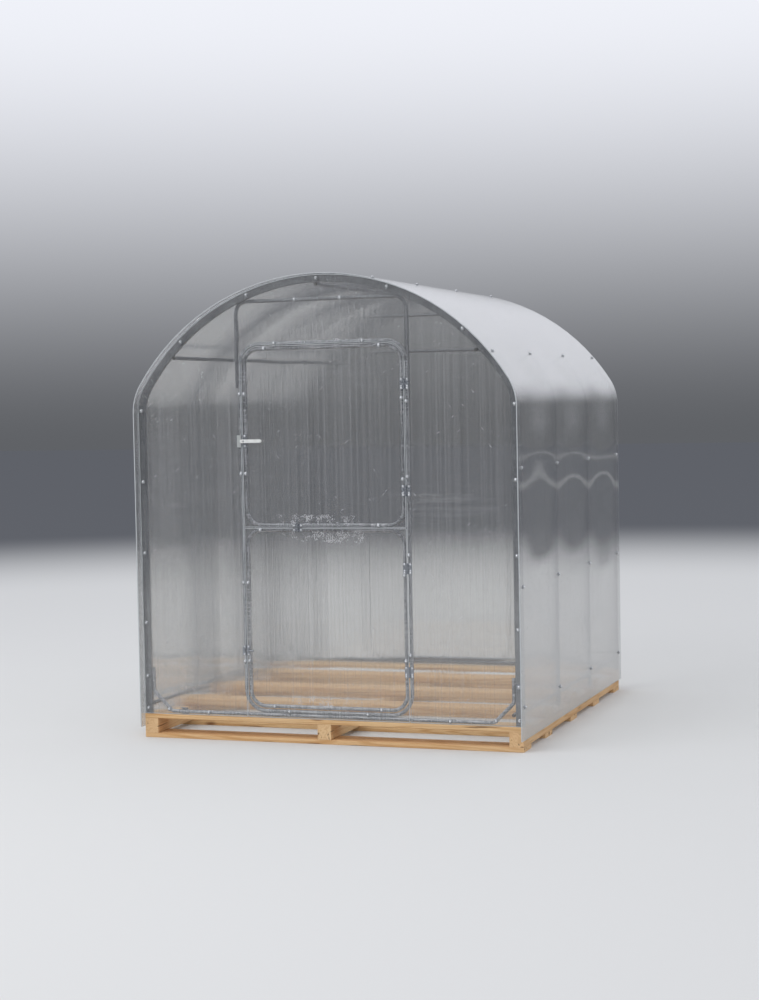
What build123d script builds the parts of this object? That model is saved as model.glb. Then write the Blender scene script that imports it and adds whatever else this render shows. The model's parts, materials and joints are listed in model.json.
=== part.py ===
from build123d import *
from math import cos, radians, sin
import os

# Arched garden greenhouse of steel tube and twin-wall sheet on a timber skid.
# Millimetres. X runs across the front from left to right, Y from the front gable
# to the back, Z up. The origin is on the ground under the middle of the skid.

# Timber skid
skid_end_reach = 5
stringer_width = 68
stringer_height = 72
middle_stringer_x = -20
board_width = 132
board_thickness = 22
joist_thickness = 42
inner_board_places = (-548, -45, 453)

# Steel frame
frame_length = 2000
half_width = 955
leg_height = 1466
haunch_radius = 245
haunch_angle = 32.4
arch_face = 37
arch_corner = 3
tube = 18
wall = 1.5
arch_count = 4
purlin_elevation = 43.2
ridge_x = -20
purlin_inset = 2
base_rail_height = 54
fit = 0.3

# Foot tube along each gable, bent up beside the legs
foot_tube_height = 15
foot_tube_top = 224
foot_tube_bend = 110
foot_tube_radius = 32

# Brace hoop over the door
hoop_half_width = 428
hoop_shift = -12
hoop_drop = 22
hoop_radius = 57
hoop_left_end = 1692
hoop_right_end = 1629

# Sheets
sheet = 4
cover_overhang = 50
cover_bottom = 56
gable_edge = 2
gable_foot = 2

# Doorway and its two leaves
door_half_width = 418
door_top = 1899
door_corner = 98
leaf_gap = 5
leaf_split = 1027
sheet_lap = 5.5

# Hinges
hinge_places = {"upper": (1695, 1200), "lower": (838, 354)}
hinge_height = 50
hinge_plate_width = 17
plate = 2
barrel = 4
pin = 2
pin_clearance = 0.08
knuckle_gap = 0.4

# Turning latch on the upper leaf
latch_z = 1439
latch_plate_height = 62
latch_plate_width = 20
keeper_height = 57
keeper_width = 20
keeper_thickness = 6
lever_length = 84
lever_tail = 26
lever_height = 17
lever_thickness = 8
lever_standoff = 5.5
lever_pin = 4

# Slide bolts
bolt_rod = 3
bolt_guide = 10
bolt_plate_long = 46
bolt_plate_short = 16
bolt_length = 32
bolt_knob = 5
mid_bolt_x = -134
low_bolt_z = 438

# Worked out from the above
deck_top = board_thickness + stringer_height + board_thickness
front = -frame_length / 2
back = frame_length / 2
knee = deck_top + leg_height
bend = radians(haunch_angle)
crown_radius = haunch_radius + (half_width - haunch_radius) / cos(bend)
crown_centre = knee + (haunch_radius - crown_radius) * sin(bend)
hoop_left = hoop_shift - hoop_half_width
hoop_right = hoop_shift + hoop_half_width
hoop_top = crown_centre + (crown_radius**2 - hoop_left**2) ** 0.5 - hoop_drop
gable_tube_y = front + fit + tube / 2
hoop_y = gable_tube_y + tube + fit
foot_z = deck_top + foot_tube_height
door_bottom = foot_z + tube + fit
leaf_inset = tube + leaf_gap
leaf_half_width = door_half_width - leaf_inset
leaf_corner = door_corner - leaf_inset
cut_x = door_half_width - sheet_lap
sheet_face = front - sheet
hinge_x = cut_x - leaf_gap / 2
hinge_y = sheet_face - barrel
rail_reach = half_width - arch_face - fit - tube / 2


def slab(face, y_low, y_high):
    """A face drawn in X and Z, made solid from y_low to y_high."""
    return extrude(Plane.XZ.offset(-y_high) * face, amount=y_high - y_low)


def block(low, high):
    """A box between two corners."""
    size = [b - a for a, b in zip(low, high)]
    middle = [(a + b) / 2 for a, b in zip(low, high)]
    return Pos(*middle) * Box(*size)


def crown_point(depth, angle):
    """A point on the crown's arc, depth inside the arch's outer face."""
    reach = crown_radius - depth
    return reach * cos(angle), crown_centre + reach * sin(angle)


def haunch_point(depth, angle, side):
    """A point on a haunch's arc, depth inside the arch's outer face."""
    reach = haunch_radius - depth
    x = half_width - haunch_radius + reach * cos(angle)
    return side * x, knee + reach * sin(angle)


def arch_line(depth, foot):
    """The arch's outline from the right foot over the crown to the left foot."""
    right = [haunch_point(depth, bend * k / 2, 1) for k in range(3)]
    left = [haunch_point(depth, bend * k / 2, -1) for k in range(3)]
    top = crown_point(depth, radians(90))
    return [
        Line((right[0][0], foot), right[0]),
        ThreePointArc(*right),
        ThreePointArc(right[2], top, left[2]),
        ThreePointArc(left[2], left[1], left[0]),
        Line(left[0], (left[0][0], foot)),
    ]


def arch_band(outer_depth, inner_depth, foot):
    """The flat band between two depths of the arch."""
    outer = arch_line(outer_depth, foot)
    inner = arch_line(inner_depth, foot)
    feet = [Line(outer[0] @ 0, inner[0] @ 0), Line(outer[-1] @ 1, inner[-1] @ 1)]
    return make_face(Wire(outer + inner + feet))


def arch(y_middle):
    """One arch of rectangular tube with rounded edges, open at its feet."""
    path = Plane.XZ.offset(-y_middle) * Wire(arch_line(arch_face / 2, deck_top))
    foot = Plane(origin=path @ 0, x_dir=(1, 0, 0), z_dir=path % 0)
    outside = sweep(foot * RectangleRounded(arch_face, tube, arch_corner), path=path)
    bore = arch_band(wall, arch_face - wall, deck_top)
    return outside - slab(bore, y_middle - tube / 2 + wall, y_middle + tube / 2 - wall)


def round_tube(path, hollow=True):
    """Round tube along a path, with its bore open at both ends."""
    start = Plane(origin=path @ 0, z_dir=path % 0)
    outside = sweep(start * Circle(tube / 2), path=path)
    if not hollow:
        return outside
    return outside - sweep(start * Circle(tube / 2 - wall), path=path)


def purlin(x, z):
    """A straight tube from the front arch to the back one."""
    reach = frame_length / 2 - purlin_inset
    return round_tube(Line((x, -reach, z), (x, reach, z)))


def foot_tube(y):
    """The tube along a gable's foot, bent up at 45 degrees beside each leg."""
    run = rail_reach - (foot_tube_bend - foot_tube_height)
    points = [
        (-rail_reach, y, deck_top + foot_tube_top),
        (-rail_reach, y, deck_top + foot_tube_bend),
        (-run, y, foot_z),
        (run, y, foot_z),
        (rail_reach, y, deck_top + foot_tube_bend),
        (rail_reach, y, deck_top + foot_tube_top),
    ]
    return round_tube(FilletPolyline(*points, radius=foot_tube_radius))


def brace_hoop(y):
    """The inverted U of tube over the door, against the back of the arch."""
    points = [
        (hoop_left, y, hoop_left_end),
        (hoop_left, y, hoop_top),
        (hoop_right, y, hoop_top),
        (hoop_right, y, hoop_right_end),
    ]
    return round_tube(FilletPolyline(*points, radius=hoop_radius))


def tube_ring(half, low, high, corner, y):
    """A closed ring of tube round a rectangle with round corners."""
    outline = RectangleRounded(2 * half, high - low, corner)
    plane = Plane(origin=(0, y, (low + high) / 2), x_dir=(1, 0, 0), z_dir=(0, -1, 0))
    path = (plane * outline).wire()
    return round_tube(path, hollow=False)


def cover_part(start, end):
    """A bent length of the cover sheet between two angles of the crown or a haunch."""
    low, high = -fit - sheet, -fit
    outer = [crown_point(low, start + (end - start) * k / 2) for k in range(3)]
    inner = [crown_point(high, start + (end - start) * k / 2) for k in range(3)]
    return bent_sheet(outer, inner)


def haunch_part(side):
    """The tight bend of the cover over one haunch."""
    outer = [haunch_point(-fit - sheet, bend * k / 2, side) for k in range(3)]
    inner = [haunch_point(-fit, bend * k / 2, side) for k in range(3)]
    return bent_sheet(outer, inner)


def bent_sheet(outer, inner):
    """Sheet between two arcs of three points, as long as the roof with its overhangs."""
    edges = [
        ThreePointArc(*outer),
        ThreePointArc(*inner),
        Line(outer[0], inner[0]),
        Line(outer[2], inner[2]),
    ]
    return slab(make_face(Wire(edges)), front - cover_overhang, back + cover_overhang)


def gable_outline():
    """The gable sheet's outline, a little inside the arch's outer face."""
    edges = arch_line(gable_edge, deck_top + gable_foot)
    edges.append(Line(edges[-1] @ 1, edges[0] @ 0))
    return make_face(Wire(edges))


def rounded_top(half, low, high, corner):
    """A rectangle whose two upper corners are round."""
    body = Pos(0, (low + high) / 2) * Rectangle(2 * half, high - low)
    tops = body.vertices().sort_by(Axis.Y)[-2:]
    return fillet(tops, corner)


def hinge_half(z, side):
    """One plate of a hinge with its knuckles: side 1 on the jamb, side -1 on the leaf."""
    near = hinge_x + side * (barrel + knuckle_gap)
    far = near + side * hinge_plate_width
    plate_low, plate_high = z - hinge_height / 2, z + hinge_height / 2
    leaf = block(
        (min(near, far), sheet_face - plate, plate_low),
        (max(near, far), sheet_face, plate_high),
    )
    third = hinge_height / 3
    spans = [(-1.5, -0.5), (0.5, 1.5)] if side > 0 else [(-0.5, 0.5)]
    half = leaf
    for low, high in spans:
        bottom = z + low * third + (knuckle_gap if low > -1 else 0)
        top = z + high * third - (knuckle_gap if high < 1 else 0)
        knuckle = Pos(hinge_x, hinge_y, (bottom + top) / 2) * Cylinder(barrel, top - bottom)
        web = block(
            (min(hinge_x, near), sheet_face - plate, bottom),
            (max(hinge_x, near), sheet_face, top),
        )
        half += knuckle + web
    bore = Pos(hinge_x, hinge_y, z) * Cylinder(pin + pin_clearance, hinge_height)
    if side < 0:
        return half - bore
    return half + Pos(hinge_x, hinge_y, z) * Cylinder(pin, hinge_height)


def latch_plate():
    """The latch's plate on the leaf, with the pin that the lever turns on."""
    y = sheet_face
    half_w, half_h = latch_plate_width / 2, latch_plate_height / 2
    x = -leaf_half_width
    body = block((x - half_w, y - plate, latch_z - half_h), (x + half_w, y, latch_z + half_h))
    lever_back = y - keeper_thickness - lever_standoff
    boss_length = y - lever_back - fit
    boss = Pos(x, y - boss_length / 2, latch_z) * Rot(90, 0, 0) * Cylinder(2 * lever_pin, boss_length)
    stem_length = y - lever_back + lever_thickness
    stem = Pos(x, y - stem_length / 2, latch_z) * Rot(90, 0, 0) * Cylinder(lever_pin, stem_length)
    return body + boss + stem


def latch_lever():
    """The lever, lying across the jamb's keeper at rest."""
    x = -leaf_half_width
    lever_back = sheet_face - keeper_thickness - lever_standoff
    place = Pos(x + (lever_length - lever_tail) / 2, latch_z)
    outline = place * SlotOverall(lever_length + lever_tail, lever_height)
    bore = Pos(x, latch_z) * Circle(lever_pin + pin_clearance)
    return slab(outline - bore, lever_back - lever_thickness, lever_back)


def latch_keeper():
    """The block on the jamb that the lever's tail lies over."""
    right = -cut_x - fit
    half_h = keeper_height / 2
    return block(
        (right - keeper_width, sheet_face - keeper_thickness, latch_z - half_h),
        (right, sheet_face, latch_z + half_h),
    )


def bolt_fitting(place):
    """A slide bolt's plate and guide, drawn with the rod running along Z through the origin."""
    length, width = bolt_plate_short, bolt_plate_long
    side = bolt_guide / 2
    base = block((-width / 2, side, 0), (width / 2, side + plate, length))
    guide = block((-side, -side, plate), (side, side, length - plate))
    bore = Cylinder(bolt_rod + pin_clearance, 4 * length)
    return place * (base + guide - bore)


def bolt_bar(place):
    """The rod of a slide bolt with its knob, drawn back."""
    rod = Pos(0, 0, bolt_length / 2) * Cylinder(bolt_rod, bolt_length)
    knob = Pos(0, 0, bolt_length + bolt_knob / 2) * Cylinder(bolt_knob, bolt_knob)
    return place * (rod + knob)


def cross_boards(spans):
    """Boards across the skid, each given by its middle, its underside and its thickness."""
    boards = []
    for y, low, thickness in spans:
        corner = (-half_width, y - board_width / 2, low)
        boards.append(block(corner, (half_width, y + board_width / 2, low + thickness)))
    return Compound(children=boards)


parts = {}

# Skid
skid_length = frame_length + 2 * skid_end_reach
bearing = board_thickness + stringer_height
side_stringer_x = half_width - stringer_width / 2
parts["stringers"] = Compound(
    children=[
        block(
            (x - stringer_width / 2, -skid_length / 2, board_thickness),
            (x + stringer_width / 2, skid_length / 2, bearing),
        )
        for x in (-side_stringer_x, middle_stringer_x, side_stringer_x)
    ]
)
end_board = (skid_length - board_width) / 2
board_places = (-end_board, *inner_board_places, end_board)
parts["bottom_boards"] = cross_boards((y, 0, board_thickness) for y in board_places)
parts["deck_boards"] = cross_boards(
    (y, bearing, board_thickness if abs(y) == end_board else joist_thickness) for y in board_places
)

# Arches and the tubes that join them
pitch = (frame_length - tube) / (arch_count - 1)
for number in range(arch_count):
    parts[f"arch_{number + 1}"] = arch(front + tube / 2 + number * pitch)
purlin_reach = crown_radius - arch_face - fit - tube / 2
ridge_z = crown_centre + (purlin_reach**2 - ridge_x**2) ** 0.5
parts["ridge_purlin"] = purlin(ridge_x, ridge_z)
for name, side in (("left", -1), ("right", 1)):
    lift = radians(purlin_elevation)
    parts[f"{name}_roof_purlin"] = purlin(
        side * purlin_reach * cos(lift), crown_centre + purlin_reach * sin(lift)
    )
    parts[f"{name}_base_rail"] = purlin(side * rail_reach, deck_top + base_rail_height)

# Gable frames, the back one the mirror of the front one
for name, side in (("front", 1), ("back", -1)):
    parts[f"{name}_foot_tube"] = foot_tube(side * gable_tube_y)
    parts[f"{name}_brace_hoop"] = brace_hoop(side * hoop_y)
    parts[f"{name}_door_ring"] = tube_ring(
        door_half_width, door_bottom, door_top, door_corner, side * gable_tube_y
    )

# Cover, one bent sheet in six lengths
parts["cover_left_haunch"] = haunch_part(-1)
parts["cover_right_haunch"] = haunch_part(1)
parts["cover_roof_right"] = cover_part(bend, radians(90))
parts["cover_roof_left"] = cover_part(radians(90), radians(180) - bend)
for name, side in (("left", -1), ("right", 1)):
    inner, outer = side * (half_width + fit), side * (half_width + fit + sheet)
    parts[f"cover_{name}_wall"] = block(
        (min(inner, outer), front - cover_overhang, cover_bottom),
        (max(inner, outer), back + cover_overhang, knee),
    )

# Gable sheets
gable = gable_outline()
doorway = rounded_top(cut_x, 0, door_top - sheet_lap, door_corner - sheet_lap)
wide = 2 * half_width
beside = Pos(wide / 2 + cut_x, wide / 2) * Rectangle(wide, 4 * wide)
parts["front_gable_right"] = slab(gable & beside, sheet_face, front)
parts["front_gable_left"] = slab(gable & beside.mirror(Plane.YZ), sheet_face, front)
middle = Pos(0, wide / 2) * Rectangle(2 * cut_x, 4 * wide)
parts["front_gable_top"] = slab((gable & middle) - doorway, sheet_face, front)
parts["back_gable"] = slab(gable, back, back + sheet)

# Door leaves
leaf_edge = cut_x - leaf_gap
leaf_top = door_top - leaf_inset
leaf_bottom = door_bottom + leaf_inset
split_half = leaf_inset / 2
parts["upper_leaf_frame"] = tube_ring(
    leaf_half_width, leaf_split + split_half, leaf_top, leaf_corner, gable_tube_y
)
parts["lower_leaf_frame"] = tube_ring(
    leaf_half_width, leaf_bottom, leaf_split - split_half, leaf_corner, gable_tube_y
)
edge_inset = sheet_lap + leaf_gap
upper_sheet = rounded_top(
    leaf_edge, leaf_split + leaf_gap / 2, door_top - edge_inset, door_corner - edge_inset
)
parts["upper_leaf_sheet"] = slab(upper_sheet, sheet_face, front)
parts["lower_leaf_sheet"] = block(
    (-leaf_edge, sheet_face, deck_top + gable_foot), (leaf_edge, front, leaf_split - leaf_gap / 2)
)

# Hinges
parts["jamb_hinge_plates"] = Compound(
    children=[hinge_half(z, 1) for places in hinge_places.values() for z in places]
)
for name, places in hinge_places.items():
    parts[f"{name}_leaf_hinge_plates"] = Compound(children=[hinge_half(z, -1) for z in places])

# Latches
parts["latch_plate"] = latch_plate()
parts["latch_lever"] = latch_lever()
parts["latch_keeper"] = latch_keeper()
bolt_y = sheet_face - plate - bolt_guide / 2
mid_place = Pos(mid_bolt_x, bolt_y, leaf_split + leaf_gap / 2)
mid_keeper = Pos(mid_bolt_x, bolt_y, leaf_split - leaf_gap / 2 - bolt_plate_short)
low_place = Pos(-leaf_edge, bolt_y, low_bolt_z) * Rot(0, 90, 0)
low_keeper = Pos(-cut_x - bolt_plate_short, bolt_y, low_bolt_z) * Rot(0, 90, 0)
parts["mid_bolt_guide"] = bolt_fitting(mid_place)
parts["mid_bolt_keeper"] = bolt_fitting(mid_keeper)
parts["mid_bolt_bar"] = bolt_bar(mid_place)
parts["low_bolt_guide"] = bolt_fitting(low_place)
parts["low_bolt_keeper"] = bolt_fitting(low_keeper)
parts["low_bolt_bar"] = bolt_bar(low_place)

os.makedirs("parts", exist_ok=True)
for name, shape in parts.items():
    export_step(shape, f"parts/{name}.step")
ridge = crown_centre + crown_radius
print(len(parts), "nodes; crown radius", round(crown_radius), "ridge height", round(ridge))
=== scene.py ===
"""The looks of an arched garden greenhouse: sheets, boards, screws, fittings, finishes and studio."""

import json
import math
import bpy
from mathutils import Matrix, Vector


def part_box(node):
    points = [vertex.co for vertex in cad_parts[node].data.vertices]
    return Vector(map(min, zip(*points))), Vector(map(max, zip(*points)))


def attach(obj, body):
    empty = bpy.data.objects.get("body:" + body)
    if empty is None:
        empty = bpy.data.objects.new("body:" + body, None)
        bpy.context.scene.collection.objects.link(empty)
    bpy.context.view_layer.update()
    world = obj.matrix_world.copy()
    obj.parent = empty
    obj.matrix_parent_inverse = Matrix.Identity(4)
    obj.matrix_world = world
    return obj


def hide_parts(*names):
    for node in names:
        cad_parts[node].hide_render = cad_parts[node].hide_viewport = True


bl_info = {
    "name": "Arched garden greenhouse",
    "version": (1, 0, 0),
    "blender": (4, 5, 0),
    "location": "View3D > Sidebar > Greenhouse",
    "description": "Builds the twin-wall sheets, timber, screws, fittings and finishes of a greenhouse",
    "category": "Add Mesh",
}

import bmesh
import bpy
import numpy as np
from mathutils import Matrix, Vector

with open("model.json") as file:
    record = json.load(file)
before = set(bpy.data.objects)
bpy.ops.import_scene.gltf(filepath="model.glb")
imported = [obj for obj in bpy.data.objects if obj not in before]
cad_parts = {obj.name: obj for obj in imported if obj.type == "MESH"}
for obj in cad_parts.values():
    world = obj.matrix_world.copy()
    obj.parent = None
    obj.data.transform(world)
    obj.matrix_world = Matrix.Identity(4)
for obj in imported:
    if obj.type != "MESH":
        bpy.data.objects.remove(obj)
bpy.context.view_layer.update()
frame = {"nodes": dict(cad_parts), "record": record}

# Places read from the frame, in metres
arches = [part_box(f"arch_{number}") for number in (1, 2, 3, 4)]
deck_top = arches[0][0].z
half = arches[0][1].x
front = arches[0][0].y
tube = arches[0][1].y - front
arch_places = np.array([(low.y + high.y) / 2 for low, high in arches])
wall_low, wall_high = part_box("cover_right_wall")
haunch_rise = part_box("cover_right_haunch")[1].z - wall_high.z
roof_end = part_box("cover_roof_right")[1].x
knee = wall_high.z
turn = 2 * math.atan2(wall_high.x - roof_end, haunch_rise)
haunch_radius = haunch_rise / math.sin(turn) - (wall_high.x - half)
crown_radius = haunch_radius + (half - haunch_radius) / math.cos(turn)
crown_centre = knee + (haunch_radius - crown_radius) * math.sin(turn)
cover_inside = wall_low.x - half
cover_outside = wall_high.x - half
gable_low, gable_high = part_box("front_gable_left")
gable_inset = half + gable_low.x
gable_face = gable_low.y
doorway_half = -gable_high.x
ring_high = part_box("front_door_ring")[1]
ring_half = ring_high.x - tube / 2
doorway_top = ring_high.z - tube / 2 - (ring_half - doorway_half)
doorway_corner = doorway_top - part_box("front_gable_top")[0].z
upper_low, upper_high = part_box("upper_leaf_sheet")
lower_low, lower_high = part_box("lower_leaf_sheet")
leaf_gap = doorway_half - upper_high.x
leaf_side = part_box("upper_leaf_frame")[1].x - tube / 2

close = 1e-4    # Points nearer to each other than this count as one

# Bends of the sheets, in metres: how far apart the waves and bows are, and where they fade
bow_spans = (0.35, 0.45)
sag_reach = 0.17
long_wave = 0.62
short_wave = 0.27
haunch_fade = 0.25
foot_fade = 0.45

# Steps of the sheets' grids, and the rough heights that a sawn border is a share of
cover_steps = 106
jamb_steps, haunch_steps = 22, 8
back_steps = 26
lintel_steps = 9
leaf_steps, leaf_columns = 15, 41
gable_rise, lintel_rise, leaf_rise = 1.8, 0.25, 0.87

# Screws, plates and marks, in metres and degrees
arch_face_width = 0.037
arch_screw_heights = (1.592, 1.247, 0.901, 0.561, 0.301, 0.144)
crown_screw_turns = (42.4, 20.4, 0.9, -18.2, -40.7)
cover_screw_heights = (1.303, 0.759, 0.208)
cover_screw_turns = (49.8, 13.8, -13.8, -49.8)
hinge_plate_height = 0.05
hinge_screw_steps = (-0.41, -0.21, 0.4)    # shares of the plate's height
hinge_screw_inset = 0.007
bolt_screw_inset = 0.005
nail_insets = (-0.006, 0.009)
plate_thickness = 0.002
leg_plate_reach = 0.0125
leg_bolt_radius = 0.0062
strap_sides = (-0.771, -0.737)
strap_thickness = 0.0016
thick_board = 0.03
sharp_edge = 38
SCUFFED_PLACES = (    # X, Z and the reach along both
    (-0.06, 1.062, 0.42, 0.055), (0.0, 0.985, 0.46, 0.06), (-0.02, 0.2, 0.4, 0.06),
    (-0.615, 1.72, 0.03, 0.2), (0.1, 1.895, 0.4, 0.04),
)

# Door screws: their body, how far out the upright tubes are, the heights of the screws in the left and
# the right one, and for each level tube the X of those along its top and the X and lift of those along
# its foot
DOOR_SCREWS = {
    "door_ring_screws": (
        "greenhouse", ring_half, ((1.663, 1.284, 0.762, 0.385), (1.614, 1.264, 0.9, 0.432)),
        {
            "front_door_ring": ((-0.235, 0.208), ((-0.196, 0), (0.2, 0))),
            "front_brace_hoop": ((-0.127, 0.101), ()),
            "front_foot_tube": ((), ((-0.615, 0), (0.605, 0), (-0.825, 0.01), (0.825, 0.01))),
        },
    ),
    "upper_leaf_screws": (
        "upper_leaf", leaf_side, ((1.662, 1.284), (1.63, 1.253)),
        {"upper_leaf_frame": ((-0.289, 0.289), ((0.271, 0),))},
    ),
    "lower_leaf_screws": (
        "lower_leaf", leaf_side, ((0.762, 0.387), (0.804, 0.405)),
        {"lower_leaf_frame": ((-0.326,), ((-0.27, 0), (0.27, 0)))},
    ),
}

# Turned pieces: rows of radius as a share of the rim, height, and 1 where the ring is six-sided
WASHER = ((1, -0.0003, 0), (1, 0.0008, 0), (0.88, 0.0018, 0), (0.6, 0.0032, 0))
HEXAGON = ((1, 0.0022, 1), (1, 0.0058, 1), (0.93, 0.0068, 0), (0.7, 0.0079, 0), (0.35, 0.0086, 0))
SMALL_HEAD = ((1, -0.0002, 0), (1, 0.0006, 0), (0.8, 0.0018, 0), (0.35, 0.0025, 0))
NAIL_HEAD = ((1, -0.001, 0), (1, 0.0003, 0), (0.8095, 0.0007, 0))
BOLT_HEAD = ((1, 0, 1), (1, 0.0045, 1), (0.8387, 0.006, 0), (0.4839, 0.0072, 0))
PLUG = ((0.8, -0.006, 0), (0.8, 0, 0), (1, 0.0001, 0), (1, 0.0009, 0), (0.86, 0.0014, 0))

# Studio: lamps with their place, their width and height in metres and their power in watts
LAMPS = (
    ("key_lamp", (-3.7, -6.2, 7.4), (5.0, 5.0), 260.0),
    ("low_strip", (4.6, 14.0, 0.55), (3.4, 0.08), 0.17),
    ("high_strip", (4.6, 14.0, 0.9), (3.4, 0.05), 0.09),
)
lamp_target = (0, 0, 1.1)
floor_reach = 60.0
film_width = 36.0    # millimetres


def srgb(code):
    """A hex colour as seen on a screen, turned into the linear colour that shaders use."""
    parts = np.array([int(code[place:place + 2], 16) for place in (1, 3, 5)]) / 255
    linear = np.where(parts <= 0.04045, parts / 12.92, ((parts + 0.055) / 1.055) ** 2.4)
    return (*linear.tolist(), 1.0)


def length(name, description, default):
    """A size in metres for the sidebar."""
    return bpy.props.FloatProperty(
        name=name, description=description, default=default, unit="LENGTH", precision=4
    )


def colour(name, description, code):
    """A colour for the sidebar, written as a hex value."""
    return bpy.props.FloatVectorProperty(
        name=name, description=description, default=srgb(code), size=4, subtype="COLOR", min=0, max=1
    )


def turn_of_view(name, description, degrees):
    """A turn of the camera for the sidebar."""
    return bpy.props.FloatProperty(
        name=name, description=description, default=math.radians(degrees), unit="ROTATION"
    )


class SheetLook(bpy.types.PropertyGroup):
    """Sizes and colours of the twin-wall sheets."""

    pitch: length("Rib pitch", "Spacing of the ribs between the two skins", 0.006)
    skin: length("Skin", "Thickness of one skin", 0.0004)
    scuff: length("Sawn border", "Width of the white border that the saw leaves along a cut", 0.0022)
    sag: length("Haunch sag", "How far the cover sinks between two arches at its tightest bend", 0.009)
    ripple: length("Wall ripple", "Height of the long waves in the cover's walls", 0.0042)
    bow: length("Gable bow", "How far a flat sheet bows outwards between its screws", 0.0009)
    clear: colour("Clear skin", "What one skin lets through", "#F5F5F4")
    shade: colour("Shade", "The light that a skin lets pass or scatters onwards", "#FBFBFA")
    haze: colour("Haze", "The milky share of the light in a skin", "#E6E7EB")
    edge: colour("Cut edge", "Sawn edge of a sheet", "#CDD0D2")
    notch: colour("Saw notch", "The saw's notches in a cut edge", "#A5A9AB")


class FrameLook(bpy.types.PropertyGroup):
    """Sizes and colours of the tube, the screws and the fittings."""

    washer: length("Washer radius", "Radius of the sealing washer under a roofing screw", 0.01)
    hexagon: length("Screw head", "Half the width across the flats of a roofing screw", 0.005)
    small_head: length("Small screw", "Radius of a hinge screw's head", 0.0053)
    steel: colour("Galvanised steel", "Dull zinc skin of the tube", "#606368")
    steel_pale: colour("Bright zinc", "Brighter spangles and rubbed places", "#9C9FA4")
    zinc: colour("Zinc plate", "Bright plated steel of screws and bolt heads", "#DDDFE1")
    washer_steel: colour("Washer", "Steel of the sealing washers", "#A3A6A8")
    plate: colour("Plate", "Dull plated steel of hinges, bolts and plates", "#9A9EA4")
    tarnish: colour("Tarnish", "Dull spots of plated steel", "#7E8183")
    dust: colour("Dust", "What settles on the plastic", "#9A958C")
    # Painted highlight: this white stands for white zinc rust and also for the bright highlight streaks
    # down the door's tubes
    rust_and_painted_highlight: colour("White rust and painted highlight", "White zinc rust and painted highlight streaks on the door's tube", "#CBCCD2")
    plug: colour("Plug", "Black plastic of the tube ends", "#0D0E10")
    lever: colour("Lever", "White plastic of the latch lever", "#E6E7E4")
    keeper: colour("Keeper", "Grey plastic of the latch keeper", "#A9ADAD")


class TimberLook(bpy.types.PropertyGroup):
    """Sizes and colours of the skid's boards."""

    arris: length("Arris", "Rounding of a sawn edge", 0.002)
    round_arris: length("Deck arris", "Rounding of the edges of the thick deck boards", 0.011)
    wander: length("Saw wander", "How far a sawn face strays from flat", 0.0006)
    ring: length("Ring spacing", "Spacing of the growth rings", 0.006)
    nail: length("Nail head", "Radius of a nail's head", 0.0042)
    early: colour("Early wood", "Pale wood between the rings", "#DFBB8A")
    late: colour("Late wood", "Darker line of a ring", "#B98850")
    fibre: colour("Fibre", "Darker fibres along the grain", "#B98A55")
    bleached: colour("Bleached wood", "Wood paled by the sun", "#E9D3AE")
    ruddy: colour("Ruddy wood", "The tone of the reddest board", "#D3A678")
    knot: colour("Knot", "Heart of a knot", "#6E4324")
    crack: colour("Crack", "Dark drying cracks along the grain", "#5A3A22")


class StudioLook(bpy.types.PropertyGroup):
    """Camera, floor and light of the picture."""

    lens: bpy.props.FloatProperty(
        name="Lens",
        description="Focal length on a 36 mm wide film",
        default=70.12,
        subtype="DISTANCE_CAMERA",
    )
    place: bpy.props.FloatVectorProperty(
        name="Camera",
        description="Where the camera stands",
        default=(3.2833, -9.5415, 1.6026),
        unit="LENGTH",
    )
    heading: turn_of_view("Heading", "Turn of the view to the left of the back wall", 19.387)
    tilt: turn_of_view("Tilt", "How far the view looks up", -2.815)
    roll: turn_of_view("Roll", "Turn of the picture about the view", -1.111)
    floor: colour("Floor", "Plain pale floor", "#D8D8D6")
    far_floor: colour("Far floor", "Floor where it meets the backdrop", "#66686C")
    horizon: colour("Horizon", "Light from the horizon", "#606266")
    zenith: colour("Zenith", "Light from above", "#F0F2F9")


def look(name):
    """One of the groups of sizes and colours kept on the scene."""
    return getattr(bpy.context.scene, "greenhouse_" + name)


# Shapes as arrays


def grid_faces(rows, columns, wrap=False):
    """Faces of a grid of points, row by row, closed round its columns if asked."""
    spans = columns if wrap else columns - 1
    row, column = np.meshgrid(np.arange(rows - 1), np.arange(spans), indexing="ij")
    beside = (column + 1) % columns
    here, above = row * columns, (row + 1) * columns
    corners = [here + column, here + beside, above + beside, above + column]
    return np.stack(corners, axis=-1).reshape(-1, 4)


def closed_body(rings, finish=0):
    """A closed body through a row of rings: walls between neighbours and a flat cap at both ends.

    The rings turn right-handed about the way they follow each other, so faces point out.
    """
    count, sides = rings.shape[:2]
    walls = grid_faces(count, sides, wrap=True)
    first = np.arange(sides)[None, ::-1]
    last = (count - 1) * sides + np.arange(sides)[None]
    return rings.reshape(-1, 3), [(walls, finish), (first, finish), (last, finish)]


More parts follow.
